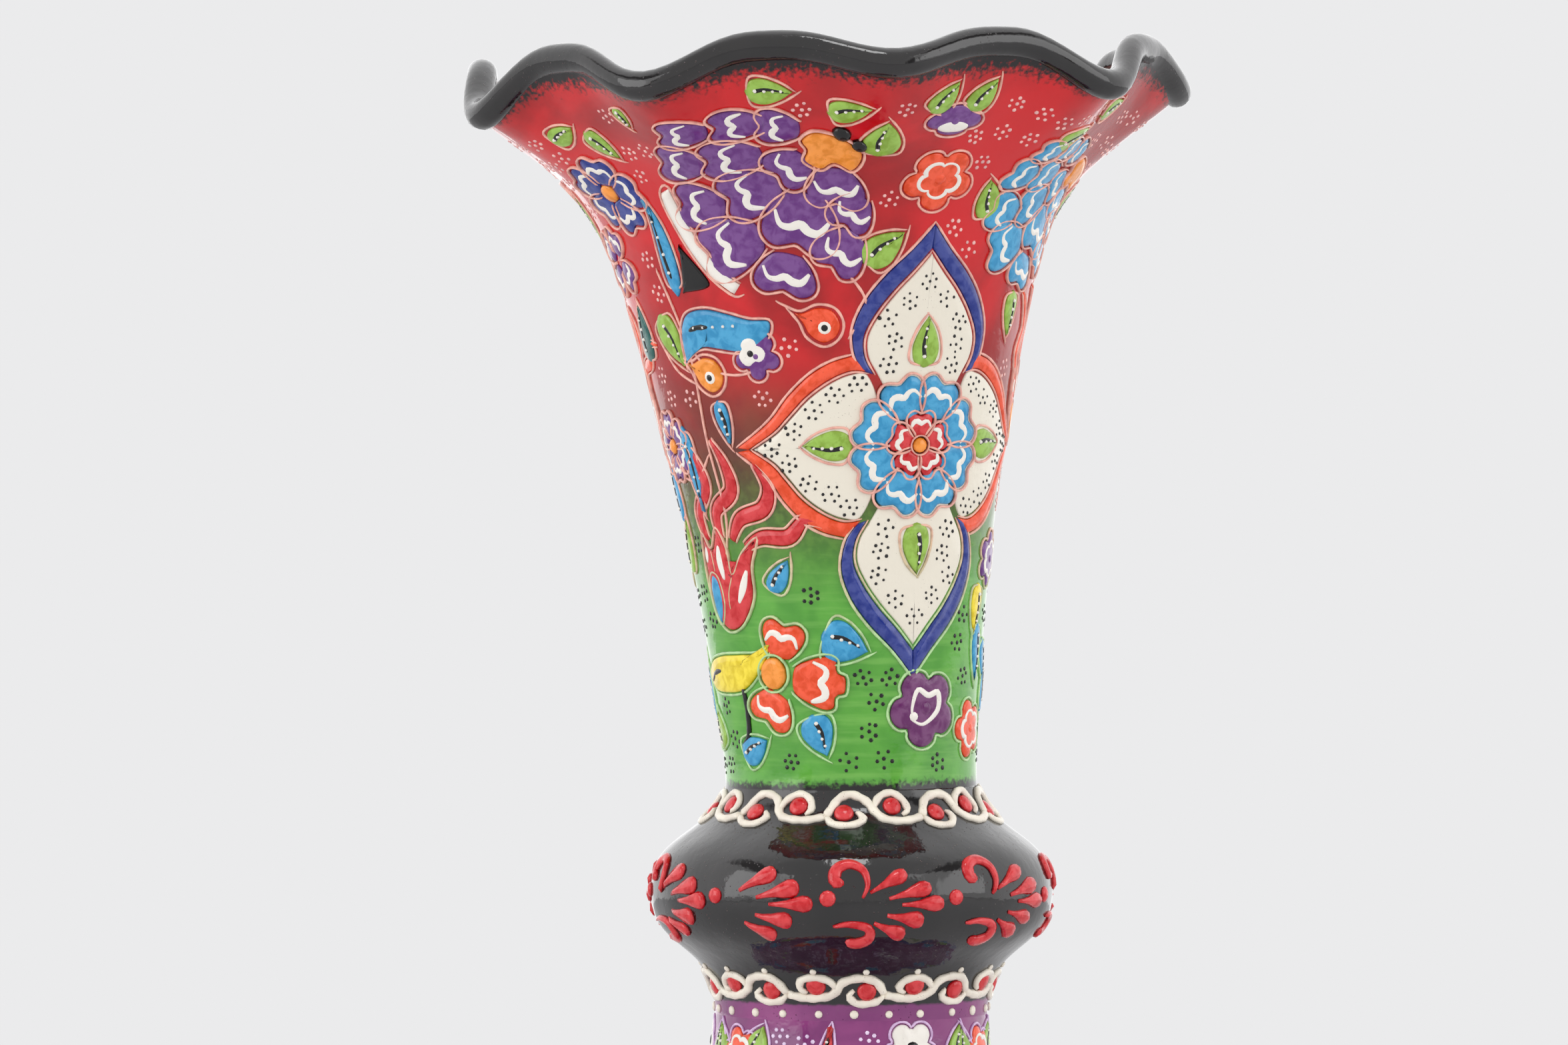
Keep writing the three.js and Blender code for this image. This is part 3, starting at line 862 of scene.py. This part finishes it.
def peony(painter, paint):
    """A full peony seen from its side, its petals spreading from a lobed amber heart."""
    for x, y, way, length, width in (
        (-10.5, 20.8, 177, 11.6, 8.6),
        (2.4, 20.8, 178, 12.2, 8.8),
        (10, 18.6, 170, 9.6, 9.4),
        (-13.6, 10.4, 172, 11.4, 11),
        (0, 11.4, 180, 13.6, 10.6),
        (9.6, 10.6, 215, 9.6, 11),
        (-11, -2.4, 172, 12.4, 11.6),
        (2.4, 3.4, 196, 13.8, 12.4),
        (-3.6, -9.6, 196, 15, 13.6),
        (8, 0.4, 252, 14, 16),
        (15.6, 7.4, 262, 10.4, 12.4),
        (20.4, -0.6, 236, 9.4, 9.6),
        (2, -14, 256, 9.8, 13.6),
        (17.6, -9.6, 232, 10.8, 11),
    ):
        petal(painter, x, y, way, 1.08 * length, 1.15 * width, paint)
    heart_line = [(9, 15.6), (9.8, 12.6), (8.6, 9.4), (12.2, 6.6), (15.6, 8.4), (19, 6.2), (21.8, 8.8),
                  (22.6, 12.6), (19.6, 16), (16, 17.8), (12.2, 18.2)]
    painter.fill(heart_line, AMBER, 0.4, 1.0)
    painter.line(heart_line, closed=True, thick=0.9)


def medallion(painter, level, ring, core):
    """Four pointed ivory arms edged in blue and the level colour round a double rosette."""
    outer = [(0, 52), (-5, 46), (-11, 40), (-15.4, 34), (-17.8, 27.4), (-17, 21), (-14.6, 17.4)]
    inner = [(0, 45.2), (-4, 40.4), (-8.2, 35.8), (-12, 30.6), (-14.4, 25.4), (-14, 20.6), (-11.6, 16.4)]
    wide_outer = [(44, 0.6), (39, 4), (35.2, 7.4), (31.6, 12.4), (26.8, 17.2), (22, 20), (17, 21.4)]
    wide_inner = [(40, 0), (34.2, 3.6), (30.8, 7.2), (26.6, 11.8), (21.6, 15.4), (17, 17.2), (13, 16.8)]
    right, down = 0.94, 1.04
    overlap = 0.04

    def edging(border, field, paint, border_first):
        painter.band(*((border, field) if border_first else (field, border)), paint, 0.6)
        painter.line(border)
        painter.line(field, 0.6)

    for up in (1, -1):
        for side in (1, -1):
            tall = 1 if up > 0 else down
            border = [(side * (x + overlap), up * y * tall) for x, y in outer]
            field = [(side * (x + overlap), up * y * tall) for x, y in inner]
            edging(border, field, BLUE, up * side > 0)
            wide = 1 if side < 0 else right
            border = [(side * x * wide, up * (y - overlap)) for x, y in wide_outer]
            field = [(side * x * wide, up * (y - overlap)) for x, y in wide_inner]
            edging(border, field, level, up * side < 0)
        tall = up if up > 0 else up * down
        arm = [(x, tall * y) for x, y in [(0, 8), (-7, 10), *inner[::-1]]]
        arm = [*arm, arm[-1], *[(-x, y) for x, y in arm[-2:0:-1]]]
        painter.fill(arm if up < 0 else arm[::-1], IVORY, 0.5, 0.45, 0.3)
        wide = right if up > 0 else 1
        arm = [(up * x * wide, y) for x, y in [(8, 0), (9, 8), *wide_inner[::-1]]]
        arm = [*arm, arm[-1], *[(x, -y) for x, y in arm[-2:0:-1]]]
        painter.fill(arm if up < 0 else arm[::-1], IVORY, 0.5, 0.45, 0.3)
        painter.under = 0.35
        leaf(painter, 0, 17.4 * up, 88 * up, 13.4, 7.8, tail=0)
        leaf(painter, 15.4 * up, 0, 90 - 88 * up, 12.8, 8, tail=0)
        painter.under = 0
    for x, y in ((0, 38), (-4.6, 33.4), (4.8, 34), (-9.4, 29.4), (9, 28.6), (-7.4, 24.2), (8.6, 23.2),
                 (-8.6, 18.8), (7.6, 18.4)):
        dots(painter, x, y, BLACK)
        dots(painter, -x, -y * down, BLACK)
    for x, y in ((34.6, 0), (30.2, 3.6), (29.4, -4), (25.6, 8.2), (25, -8.6), (20.2, 10.8), (20.6, -12),
                 (16, 14), (15.6, -14.4)):
        dots(painter, x * right, y, BLACK)
        dots(painter, -x, -y, BLACK)
    painter.under = 0.35
    whorl(painter, 22.5, 8, 6.6, 10, 11.6, ring)
    whorl(painter, 90, 5, 1.6, 6.4, 7.4, core)
    painter.dot(0, 0, 1.9, AMBER, 1.0, 12)
    painter.line(lobes(8, 2.3, 0.02), 0.5, 0.9, closed=True)
    painter.under = 0


sprinkling = random.Random(11)
SPRINKLE_SIZE = 1.05


def dots(painter, x, y, paint, thick=0.6):
    """A sprinkle of five or six brush dots round a middle one."""
    count = sprinkling.choice((5, 6, 6))
    first = sprinkling.uniform(0, 360)
    painter.dot(x, y, 0.54 * SPRINKLE_SIZE, paint, thick)
    for step in range(count):
        turn = math.radians(first + 360 / count * step + sprinkling.uniform(-9, 9))
        reach = 1.75 * SPRINKLE_SIZE * sprinkling.uniform(0.85, 1.15)
        painter.dot(x + reach * math.cos(turn), y + reach * math.sin(turn),
                    sprinkling.uniform(0.42, 0.58) * SPRINKLE_SIZE, paint, thick)


def tulip(painter, paint, side):
    """A tulip of three cupped petals with white in them, its long sepals swirling up."""
    cup = [(0, -13.6), (4.6, -11.4), (7.8, -5), (7.6, 2), (9.4, 8.6), (5, 4.6), (2, -0.6), (0.4, 5.4),
           (-2.6, 9.4), (-4.8, 4.4), (-8, 7.6), (-7.8, 0), (-6.4, -6), (-4, -11)]
    painter.fill(cup, paint, 0.4, 0.62)
    painter.line(cup, 0.68, 0.75, closed=True)
    painter.line([(2, -0.6), (0.6, -5), (1, -9)], 0.6, 0.75)
    painter.line([(-4.8, 4.4), (-3.6, -1)], 0.6, 0.75)
    painter.stroke([(-2, 5.6), (-1.8, 2), (-0.6, -2)], 2.4)
    painter.stroke([(3.6, -6.8), (5, -3), (6.2, 1)], 2.3)
    painter.stroke([(-6.6, 4.6), (-6.4, 1)], 1.4)
    cheek = [(-2.4, -12.4), (-1, -7.4), (-2.6, -2), (-5.4, -1), (-6.4, -4.6), (-5, -9.6)]
    painter.fill(cheek, side, 0.4, 0.85)
    painter.line(cheek, 0.68, 0.8, closed=True)
    for sepal in (
        [(-6, 6), (-8.4, 12), (-5, 18), (-8, 24), (-12, 28)],
        [(-1, 7), (-2, 13), (3, 18), (1.6, 24), (-2, 29)],
        [(2.4, 7), (5, 12), (11, 15), (12.4, 20), (9, 25)],
        [(6, 6), (10.4, 8.6), (16.6, 9.4), (20.4, 13.6), (25, 12.6)],
    ):
        path = drawn(sepal)
        widths = 0.5 + 3.2 * np.sin(np.linspace(0.4, math.pi, len(path)))
        painter.ribbon(path, widths, paint, 0.55)
        left = sideways(path, False)
        for edge in (1, -1):
            beside = path + edge * (widths[:, None] / 2 + 0.25) * left
            painter.ribbon(beside, np.full(len(path), 0.6), None, 0.5)


trumpet_skin = Skin(trumpet_line)
FAR = 180


def half_painting(turn, side, hues):
    """The flowers of one side of the trumpet. The potter paints the far side again in other hues."""
    full, bloom, ring, core = hues
    blooms = Painter(trumpet_skin, rose_or_mint)
    peony(blooms.motif(-12.7 + turn, 363.5), full)
    for x, y, size in ((18.8, 17.6, 2.2), (22, 14.2, 1.9)):
        blooms.dot(x, y, size, BLACK, 1.35, 12)
    west = [(-28.4, 2), (-27.6, -3), (-23.8, -11), (-18.4, -18.6), (-12.4, -23.6)]
    east = [(-25, 3.6), (-23.4, -1.8), (-19.8, -9.8), (-14.8, -16.6), (-10.2, -20.8)]
    blooms.band(west, east, WHITE, 0.75, 0.3)
    blooms.line([*east[::-1], (-26.8, 4.4), *west, (-9.6, -23.4)])
    peony(blooms.motif(64.7 + turn, 360.5, size=0.8), bloom)
    blooms.finished(f"peonies_{side}", enamel, "enamel")

    star = Painter(trumpet_skin, rose_or_mint)
    medallion(star.motif(28.4 + turn, 306.5), ORANGE, ring, core)
    star.finished(f"medallion_{side}", enamel, "enamel")

    buds = Painter(trumpet_skin, rose_or_mint)
    buds.motif(-58.4 + turn, 366.4)
    whorl(buds, 70, 5, 2, 9, 10.4, BLUE)
    buds.dot(0, 0, 2.7, AMBER, 1.0, 14)
    flower(buds.motif(26.7 + turn, 366.4), 5, 9.4, ORANGE, ORANGE, 0.56, 18, 0.94)
    flower(buds.motif(25.4 + turn, 379), 4, 7.6, full, full, 0, 45, 0.66, 0.22)
    buds.fill(lobes(8, 4.6, 0.02, 0, 0.5) - (0, 1.6), WHITE, 0.3, 0.85)
    flower(buds.motif(-23.4 + turn, 327.7, 15), 5, 6.2, full, full, 0, 0, 1, 0.34)
    buds.fill(lobes(3, 4.2, 0.3, 30) + (-0.8, 1.2), WHITE, 0.3, 0.8)
    buds.dot(-1, 1, 1.2, BLACK, 1.0, 12)
    buds.motif(-74 + turn, 351)
    for way in (60, 140, 230, 320):
        whorl(buds, way, 1, 1.4, 7.4, 8, full)
    buds.motif(-70.9 + turn, 308)
    whorl(buds, 30, 6, 1.6, 6.8, 7, full)
    buds.dot(0, 0, 1.9, AMBER, 1.0, 12)
    comma(buds.motif(-41.5 + turn, 323.7), AMBER)
    comma(buds.motif(-2.6 + turn, 334), ORANGE)
    flower(buds.motif(34.8 + turn, 246.2), 5, 9.6, PLUM, PLUM, 0, 10, 1, 0.26)
    loop = [(-3.6, -2.6), (-0.6, -3.6), (3.4, -0.4), (3.4, 3.6), (0.6, 3), (-2.2, 4.4), (-3.6, 0.6),
            (-3.6, -2)]
    buds.stroke(loop, 1.8)
    buds.dot(-3.2, -1.8, 1.6, WHITE, 0.8, 10)
    flower(buds.motif(66.9 + turn, 241), 5, 7.4, ORANGE, ORANGE)
    flower(buds.motif(77 + turn, 280), 6, 7, full, full)
    buds.motif(-24.6 + turn, 254.4)
    petal(buds, -2.6, 4, 74, 9.4, 12, ORANGE)
    petal(buds, 0.2, -0.6, -8, 13, 13.6, ORANGE, lobed=3)
    petal(buds, -3.4, -3.6, -122, 9, 13.4, ORANGE)
    centre = lobes(8, 4, 0.02, 0, 1.1) + (-4.4, 0.8)
    buds.fill(centre, AMBER, 0.5, 0.9)
    buds.line(centre, 0.68, 0.85, closed=True)
    tulip(buds.motif(-50 + turn, 279, -8, 1.06), core, TURQUOISE)
    tulip(buds.motif(88 + turn, 318, 6, 0.9), ORANGE, AMBER)
    buds.finished(f"flowers_{side}", enamel, "enamel")

    leaves = Painter(trumpet_skin, rose_or_mint)
    for angle, height, way, length, width, paint in (
        (-13.6, 386.2, -4, 12, 8, LEAF),
        (0.4, 381.2, 12, 11.4, 7.6, LEAF),
        (10.6, 371.6, 82, 12, 9.8, LEAF),
        (8.6, 347.6, 36, 13.4, 8.6, LEAF),
        (-47, 341.6, 92, 26, 5.6, TURQUOISE),
        (-61, 379.4, 14, 10, 7, LEAF),
        (-51.6, 380, -58, 11.5, 7, LEAF),
        (-38.4, 386, -75, 7.6, 5, LEAF),
        (-72.6, 327, 82, 15, 8, colour(24, 96, 88)),
        (19.4, 380.8, 55, 11.4, 7.4, LEAF),
        (27.6, 380.6, 60, 11.4, 7.4, LEAF),
        (-58.6, 338.6, -66, 15, 8.6, LEAF),
        (-40.4, 318.6, -80, 12, 5, TURQUOISE),
        (-61.4, 313, -82, 22, 5.6, TURQUOISE),
        (-30, 273.4, 55, 10.4, 6, TURQUOISE),
        (-10.6, 264, -22, 12.4, 10.6, TURQUOISE),
        (-17, 246, -72, 11.4, 8.6, TURQUOISE),
        (-57, 235.6, 26, 10.6, 8, TURQUOISE),
        (44.5, 357, 108, 12, 8, LEAF),
        (51.5, 374.8, 24, 14, 8.6, LEAF),
        (63.5, 380.6, 30, 11, 6.6, LEAF),
        (63.8, 342, -88, 12, 6.6, LEAF),
        (67.4, 275, -96, 13, 6, YELLOW),
        (69.1, 266, -88, 15, 5.4, TURQUOISE),
        (78, 262, -70, 11, 6, TURQUOISE),
        (86, 356, 62, 15, 7.4, LEAF),
        (101, 290, 96, 16, 6, TURQUOISE),
        (97, 278, 70, 15, 7.4, LEAF),
        (88, 244, 90, 14, 7, TURQUOISE),
        (105, 237, 110, 11, 7, LEAF),
    ):
        leaf(leaves.motif(angle + turn, height), 0, 0, way, length, width, paint)
    leaves.motif(-54 + turn, 255)
    pod = [(11.6, 7), (8, 4.8), (2, 4.6), (-5, 4.4), (-11, 3.2), (-14.6, 0), (-11, -3.4), (-4, -4.2),
           (2, -3.6), (6.4, -0.8), (10, 3.2)]
    pod = [(1.08 * x, 1.12 * y) for x, y in pod]
    leaves.fill(pod, YELLOW, 0.45, 0.7)
    leaves.line(pod, 0.68, closed=True)
    leaves.stroke([(-13, -1.6), (-9.6, 0.6), (-5.4, 1)], 1.7, BLACK)
    leaves.motif(-40.6 + turn, 348)
    leaves.fill([(-3.8, -6), (-3.8, -6), (5.4, -4), (-1.4, 6.6), (-1.4, 6.6)], BLACK, 0.4, 0.6, 0.25)
    leaves.motif(-32.4 + turn, 334)
    curl = [(-13.6, -8), (-13.6, -8), (-10.8, -5.6), (-7.2, -4.4), (-3, -5), (3, -5.8), (8, -4.4),
            (11.2, -1.6), (11.6, 1.8), (6.6, 2.4), (1.4, 4), (-4.6, 5.4), (-10.4, 4.6), (-13.2, 1.4),
            (-14, -3.2)]
    leaves.fill(curl, TURQUOISE, 0.45, 0.62, 0.25)
    leaves.line([*curl[1:], (-13.4, -9.4)], 0.68)
    leaves.line([(-10.8, 0), (-8, 0.8), (-4, 0.8)], 1.7, 0.9, BLACK)
    for x in (-8.6, -5.8, -3, -0.2, 2.4):
        leaves.dot(x, 0.8, 0.5, WHITE, 0.95)
    leaves.motif(-44 + turn, 300)
    for stem in (
        [(-8, 50), (-3, 30), (-3, 10), (-1, -8), (-3, -18)],
        [(-3, 32), (2, 26), (10, 24), (18, 26)],
        [(-3, 6), (-9, 0), (-16, 1)],
        [(-2, 22), (-9, 26), (-14, 34)],
    ):
        leaves.line(stem)
    leaves.motif(-53 + turn, 244)
    leaves.line([(1, 8.4), (1.6, 3), (1, -3), (-1.6, -5.4)], 1.5, 0.6, BLACK)
    leaves.motif(15 + turn, 352)
    leaves.line([(-16, 2), (-9, -6), (-4, -14), (-8, -22)])
    leaves.finished(f"leaves_{side}", enamel, "enamel")
    return [painter.places() for painter in (blooms, star, buds, leaves)]


painted = half_painting(0, "front", (PURPLE, TURQUOISE, TURQUOISE, RED))
painted += half_painting(FAR, "back", (ORANGE, PURPLE, colour(226, 84, 120), BLUE))


BARE = 2.5 * MM


def sprinkled(name, skin, places, rows, pick):
    """Fills the bare ground between the motifs of a skin with sprinkled dots."""
    taken = np.vstack(places)[::3]
    tree = KDTree(len(taken))
    for i, place in enumerate(taken):
        tree.insert(place, i)
    tree.balance()
    painter = Painter(skin, plain)
    loose = random.Random(name)
    for row, height in enumerate(rows):
        radius = np.interp(height, skin.heights, skin.radii)
        count = int(2 * math.pi * radius / 7)
        for step in range(count):
            angle = 360 * (step + 0.5 * (row % 2) + loose.uniform(-0.16, 0.16)) / count
            level = height + loose.uniform(-1.2, 1.2)
            spot, _ = skin.place(math.radians(angle), level, np.zeros(1), np.zeros(1), 0, False)
            if tree.find(spot[0])[2] > BARE:
                dots(painter.motif(angle, level), 0, 0, pick(level), 0.16)
    painter.finished(f"{name}_sprinkle", enamel, "enamel")


def ground_dots(level):
    return colour(244, 188, 180) if level > 292 else BLACK


sprinkled("trumpet", trumpet_skin, painted, np.arange(234.5, 384, 6.4), ground_dots)


# The painting inside the lip: a slip-trailed row of scallops with a dot in each, just under the
# black edge.
lining = Painter(Skin(bore_line, inward=True), plain)
for scallop in range(36):
    lining.motif(10 * scallop, 386.6)
    lining.line([(-6.4, 4.6), (-5.4, -1.4), (0, -4.8), (5.4, -1.4), (6.4, 4.6)], 1.3, 0.6)
    lining.line([(-2.6, 2.4), (-1.8, -0.8), (0, -1.8), (1.8, -0.8), (2.6, 2.4)], 1.1, 0.55)
    lining.dot(0, -8, 0.9, CREAM, 0.4, 8)
lining.finished("lip_scallops", white_slip, "white_slip")


# The lower body's painting: the same flowers in a row round the belly over the purple, medallions
# between them, and leaves and tulips reaching up to the collar and down to the foot.
LILAC = np.array(colour(222, 188, 226))


def lilac(level):
    """Slip stained by the purple it is trailed on."""
    return np.broadcast_to(LILAC, (*level.shape, 4))


body_skin = Skin(body_line)
belly_places = []
for third in range(3):
    turn = 120 * third
    crown = Painter(body_skin, lilac)
    peony(crown.motif(-18 + turn, 104, 8, 1.1), (ORANGE, TURQUOISE, RED)[third])
    crown.finished(f"body_peony_{third + 1}", enamel, "enamel")
    star = Painter(body_skin, lilac)
    medallion(star.motif(44 + turn, 98, 0, 0.98), (ORANGE, YELLOW, ORANGE)[third], TURQUOISE, RED)
    star.finished(f"body_medallion_{third + 1}", enamel, "enamel")
    belly_places += [crown.places(), star.places()]
sprigs = Painter(body_skin, lilac)
for third in range(3):
    turn = 120 * third
    for angle, height, way, length, width, paint in (
        (-48, 163.6, 66, 12, 9, LEAF),
        (47, 163.4, 80, 11.6, 7.6, LEAF),
        (-14, 158.6, 80, 17, 4.6, RED),
        (-66, 164, 100, 10, 7, LEAF),
        (-4, 128, 30, 14, 8, LEAF),
        (-40, 126, 140, 14, 8, LEAF),
        (-42, 84, 214, 14, 8, LEAF),
        (2, 82, -40, 14, 8, TURQUOISE),
        (-20, 76, -100, 15, 8, LEAF),
        (10, 140, 80, 14, 7, TURQUOISE),
        (62, 138, 104, 14, 7, TURQUOISE),
        (20, 58, 120, 13, 7, TURQUOISE),
        (66, 58, 60, 13, 7, LEAF),
        (-30, 46, 96, 13, 7, YELLOW),
        (0, 44, 84, 13, 7, YELLOW),
        (28, 40, 150, 12, 6, LEAF),
        (58, 40, 30, 12, 6, LEAF),
    ):
        leaf(sprigs.motif(angle + turn, height), 0, 0, way, length, width, paint)
    flower(sprigs.motif(25 + turn, 168.8), 5, 7, WHITE, BLACK, 0, 18)
    sprigs.dot(0, 0, 2, BLACK, 1.0, 12)
    flower(sprigs.motif(66 + turn, 167.4), 5, 6.6, ORANGE, ORANGE)
    flower(sprigs.motif(-24 + turn, 143), 5, 7, TURQUOISE, AMBER, 0.58, 18)
    flower(sprigs.motif(-16 + turn, 56), 6, 7.6, WHITE, ORANGE, 0)
    flower(sprigs.motif(43 + turn, 34), 5, 6, ORANGE, AMBER)
    flower(sprigs.motif(-38 + turn, 32), 5, 5, TURQUOISE, AMBER)
    comma(sprigs.motif(-32 + turn, 150), ORANGE)
    tulip(sprigs.motif(82 + turn, 62, 0, 0.8), RED, AMBER)
sprigs.finished("body_sprigs", enamel, "enamel")
belly_places.append(sprigs.places())


def body_dots(level):
    return colour(236, 214, 240)


sprinkled("body", body_skin, belly_places, np.arange(24, 172, 7), body_dots)


# The stage: a pale paper floor, a light tent open towards the camera between two dark poles,
# three soft lamps, and the camera.
FLOOR_DROP = 0.0002
POLE_WAY = 0.66
DARK = (0.02, 0.02, 0.02, 1)
bpy.ops.object.select_all(action="DESELECT")
bpy.ops.mesh.primitive_circle_add(vertices=96, radius=2.2, fill_type="NGON", location=(0, 0, -FLOOR_DROP))
floor = bpy.context.object
floor.name = "floor"


def floor_recipe(wire):
    grain = wire.noise(40, 4)
    return grain.turning(colour(214, 214, 215), colour(220, 220, 221)), 0.6 + 0.1 * grain, grain


floor.data.materials.append(fired("floor_paper", floor_recipe, 0.1 * MM))

world = bpy.data.worlds.new("tent")
bpy.context.scene.world = world
world.use_nodes = True
sky = Wire(world.node_tree)
backdrop = world.node_tree.nodes["Background"]
way = sky.add("TexCoord", out="Generated")
split = sky.add("SeparateXYZ", None, {0: way})
east = Wire(sky.tree, split.socket.node.outputs[0])
north = Wire(sky.tree, split.socket.node.outputs[1])
up = Wire(sky.tree, split.socket.node.outputs[2])
front = abs(east).between(0.8, 0.45) * north.between(0.25, -0.25)
tent = front.turning((1.4, 1.4, 1.41, 1), (0.95, 0.95, 0.95, 1))
poles = abs(abs(east) - POLE_WAY).between(0.09, 0.04) * north.between(0.3, 0)
tent = (0.8 * poles).turning(tent, DARK)
glossy_ray = sky.add("LightPath", out="Is Glossy Ray")
lit = glossy_ray.turning((0.92, 0.92, 0.925, 1), tent)
seen = sky.add("LightPath", out="Is Camera Ray")
world_light = seen.turning(lit, (0.831, 0.831, 0.839, 1))
world.node_tree.links.new(world_light.socket, backdrop.inputs["Color"])


def softbox(name, place, aim, size, power):
    """A square lamp behind white cloth, turned to face a point."""
    lamp = bpy.data.lights.new(name, "AREA")
    lamp.size = size
    lamp.energy = power
    holder = bpy.data.objects.new(name, lamp)
    holder.location = place
    facing = [a - p for a, p in zip(aim, place)]
    holder.rotation_euler = Vector(facing).to_track_quat("-Z", "Y").to_euler()
    bpy.context.scene.collection.objects.link(holder)


softbox("left_softbox", (-1.4, -0.8, 0.75), (0, 0, 0.25), 1.2, 8)
softbox("right_softbox", (1.4, -0.7, 0.85), (0, 0, 0.25), 1.2, 6)
softbox("top_softbox", (0, -0.5, 1.7), (0, 0, 0.3), 0.4, 3)

eye = bpy.data.cameras.new("eye")
eye.sensor_width = 36
eye.lens = 177.7
eye_holder = bpy.data.objects.new("eye", eye)
eye_holder.location = (-0.0157, -1.8, 0.2893)
eye_holder.rotation_euler = (math.radians(90), 0, 0)
bpy.context.scene.collection.objects.link(eye_holder)
bpy.context.scene.camera = eye_holder
bpy.context.scene.view_settings.view_transform = "Standard"
